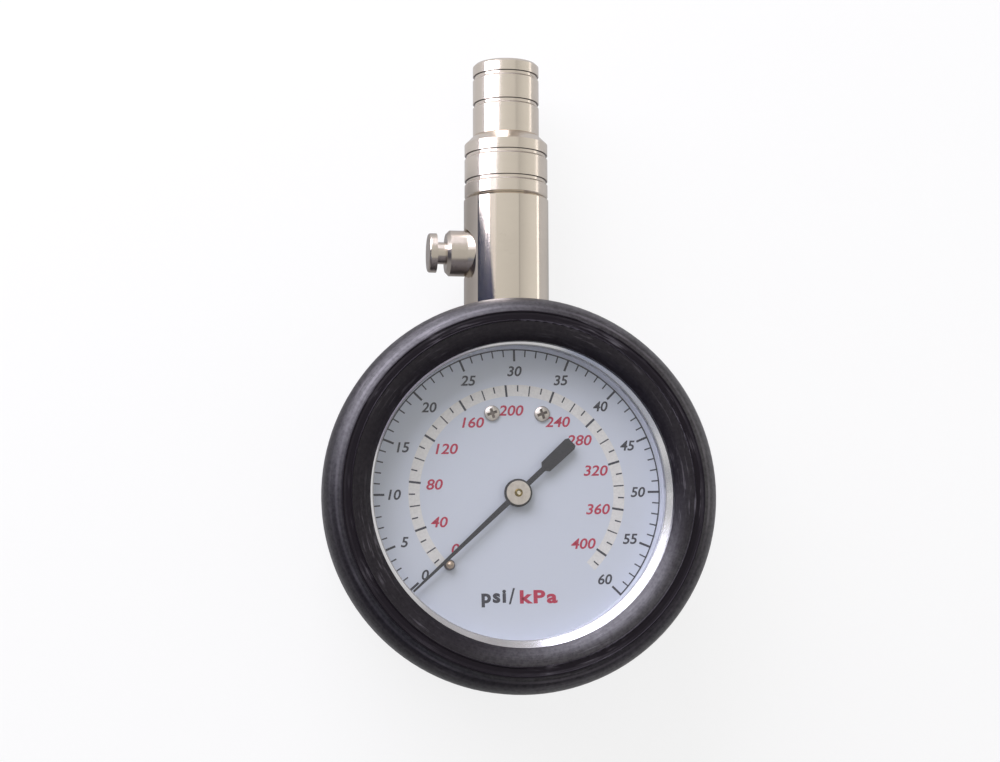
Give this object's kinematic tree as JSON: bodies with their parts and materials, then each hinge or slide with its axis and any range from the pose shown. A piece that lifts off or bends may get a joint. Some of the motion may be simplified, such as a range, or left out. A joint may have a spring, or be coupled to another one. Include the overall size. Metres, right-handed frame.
{
  "type": "dial tyre pressure gauge",
  "caption": "Hand-held dial tyre pressure gauge in a round rubber boot, with a straight push-on air chuck on top and a bleed button on the chuck's side.",
  "frame": {"origin": "on the dial's axis, in the plane of the boot's flat back rim", "axes": "+Z out of the dial, +Y to the chuck's mouth, bleed button on -X"},
  "size_m": [0.0759, 0.1267, 0.0356],
  "materials": {
    "boot_rubber": "matt moulded rubber with a faint grain",
    "pressed_steel": "satin, plated",
    "bezel_nickel": "polished",
    "lens_clear": "clear, polished",
    "spacer_grey": "smooth",
    "dial_white": "satin print on a pale ground",
    "pointer_black": "satin black",
    "bright_steel": "bright",
    "spring_steel": "drawn wire",
    "movement_brass": "lightly brushed",
    "tube_bronze": "drawn",
    "chuck_nickel": "polished nickel plate",
    "seal_rubber": "matt"
  },
  "bodies": {
    "body": {"rubber_boot": "boot_rubber", "gauge_case": "pressed_steel", "bezel_ring": "bezel_nickel", "lens": "lens_clear", "lens_gasket": "seal_rubber", "spacer_ring": "spacer_grey", "dial_plate": "dial_white", "dial_screws": "bright_steel", "stop_pin": "movement_brass", "hairspring": "spring_steel", "hairspring_stud": "movement_brass", "movement_back_plate": "movement_brass", "movement_front_plate": "movement_brass", "movement_pillars": "movement_brass", "movement_screws": "bright_steel", "dial_pillars": "movement_brass", "bourdon_tube": "tube_bronze", "socket_block": "movement_brass", "case_screws": "bright_steel", "stem_washer": "seal_rubber", "chuck_body": "chuck_nickel", "chuck_collar": "chuck_nickel", "chuck_nose": "chuck_nickel", "chuck_seal": "seal_rubber", "retainer_sleeve": "movement_brass", "depressor": "movement_brass", "check_spring": "spring_steel", "bleed_boss": "chuck_nickel", "bleed_spring": "spring_steel"},
    "sector": {"sector_gear": "movement_brass", "sector_arbor": "bright_steel", "tail_pin": "bright_steel"},
    "pointer_set": {"pinion_arbor": "movement_brass", "hairspring_collet": "movement_brass", "pointer": "pointer_black", "pointer_hub": "bright_steel", "hub_rivet": "movement_brass"},
    "link": {"link": "bright_steel"},
    "tube_tip": {"tip_lug": "movement_brass", "tip_pin": "bright_steel"},
    "bleed_button": {"bleed_plunger": "chuck_nickel", "bleed_seal": "seal_rubber"},
    "check_valve": {"check_poppet": "movement_brass", "check_seal": "seal_rubber"}
  },
  "joints": [
    {"name": "sector_swing", "type": "hinge", "parent": "body", "child": "sector", "pos_m": [-0.01536, -0.00271, 0.02], "axis": [0, 0, 1], "range_deg": [0, 22.33], "stiffness_Nm_per_rad": 0.02},
    {"name": "pointer_spin", "type": "hinge", "parent": "body", "child": "pointer_set", "pos_m": [0, 0, 0.02], "axis": [0, 0, 1], "range_deg": [-268.01, 0], "deforming": ["hairspring"]},
    {"name": "link_turn", "type": "hinge", "parent": "sector", "child": "link", "pos_m": [-0.02076, -0.00164, 0.0187], "axis": [0, 0, 1], "range_deg": [-16.33, 0]},
    {"name": "tip_travel", "type": "hinge", "parent": "body", "child": "tube_tip", "pos_m": [0.00224, -0.00542, 0.0115], "axis": [0, 0, 1], "range_deg": [0, 5.23], "deforming": ["bourdon_tube"]},
    {"name": "bleed_push", "type": "slide", "parent": "body", "child": "bleed_button", "axis": [1, 0, 0], "range_m": [0, 0.0015], "stiffness_N_per_m": 400, "springref_m": -0.0015, "deforming": ["bleed_spring"]},
    {"name": "check_lift", "type": "slide", "parent": "body", "child": "check_valve", "axis": [0, -1, 0], "range_m": [0, 0.0015], "stiffness_N_per_m": 150, "springref_m": -0.001, "deforming": ["check_spring"]}
  ],
  "couplings": [
    {"joint": "pointer_spin", "follows": "sector_swing", "ratio": -12},
    {"joint": "link_turn", "follows": "sector_swing", "ratio": -0.7308},
    {"joint": "tip_travel", "follows": "sector_swing", "ratio": 0.2336}
  ]
}
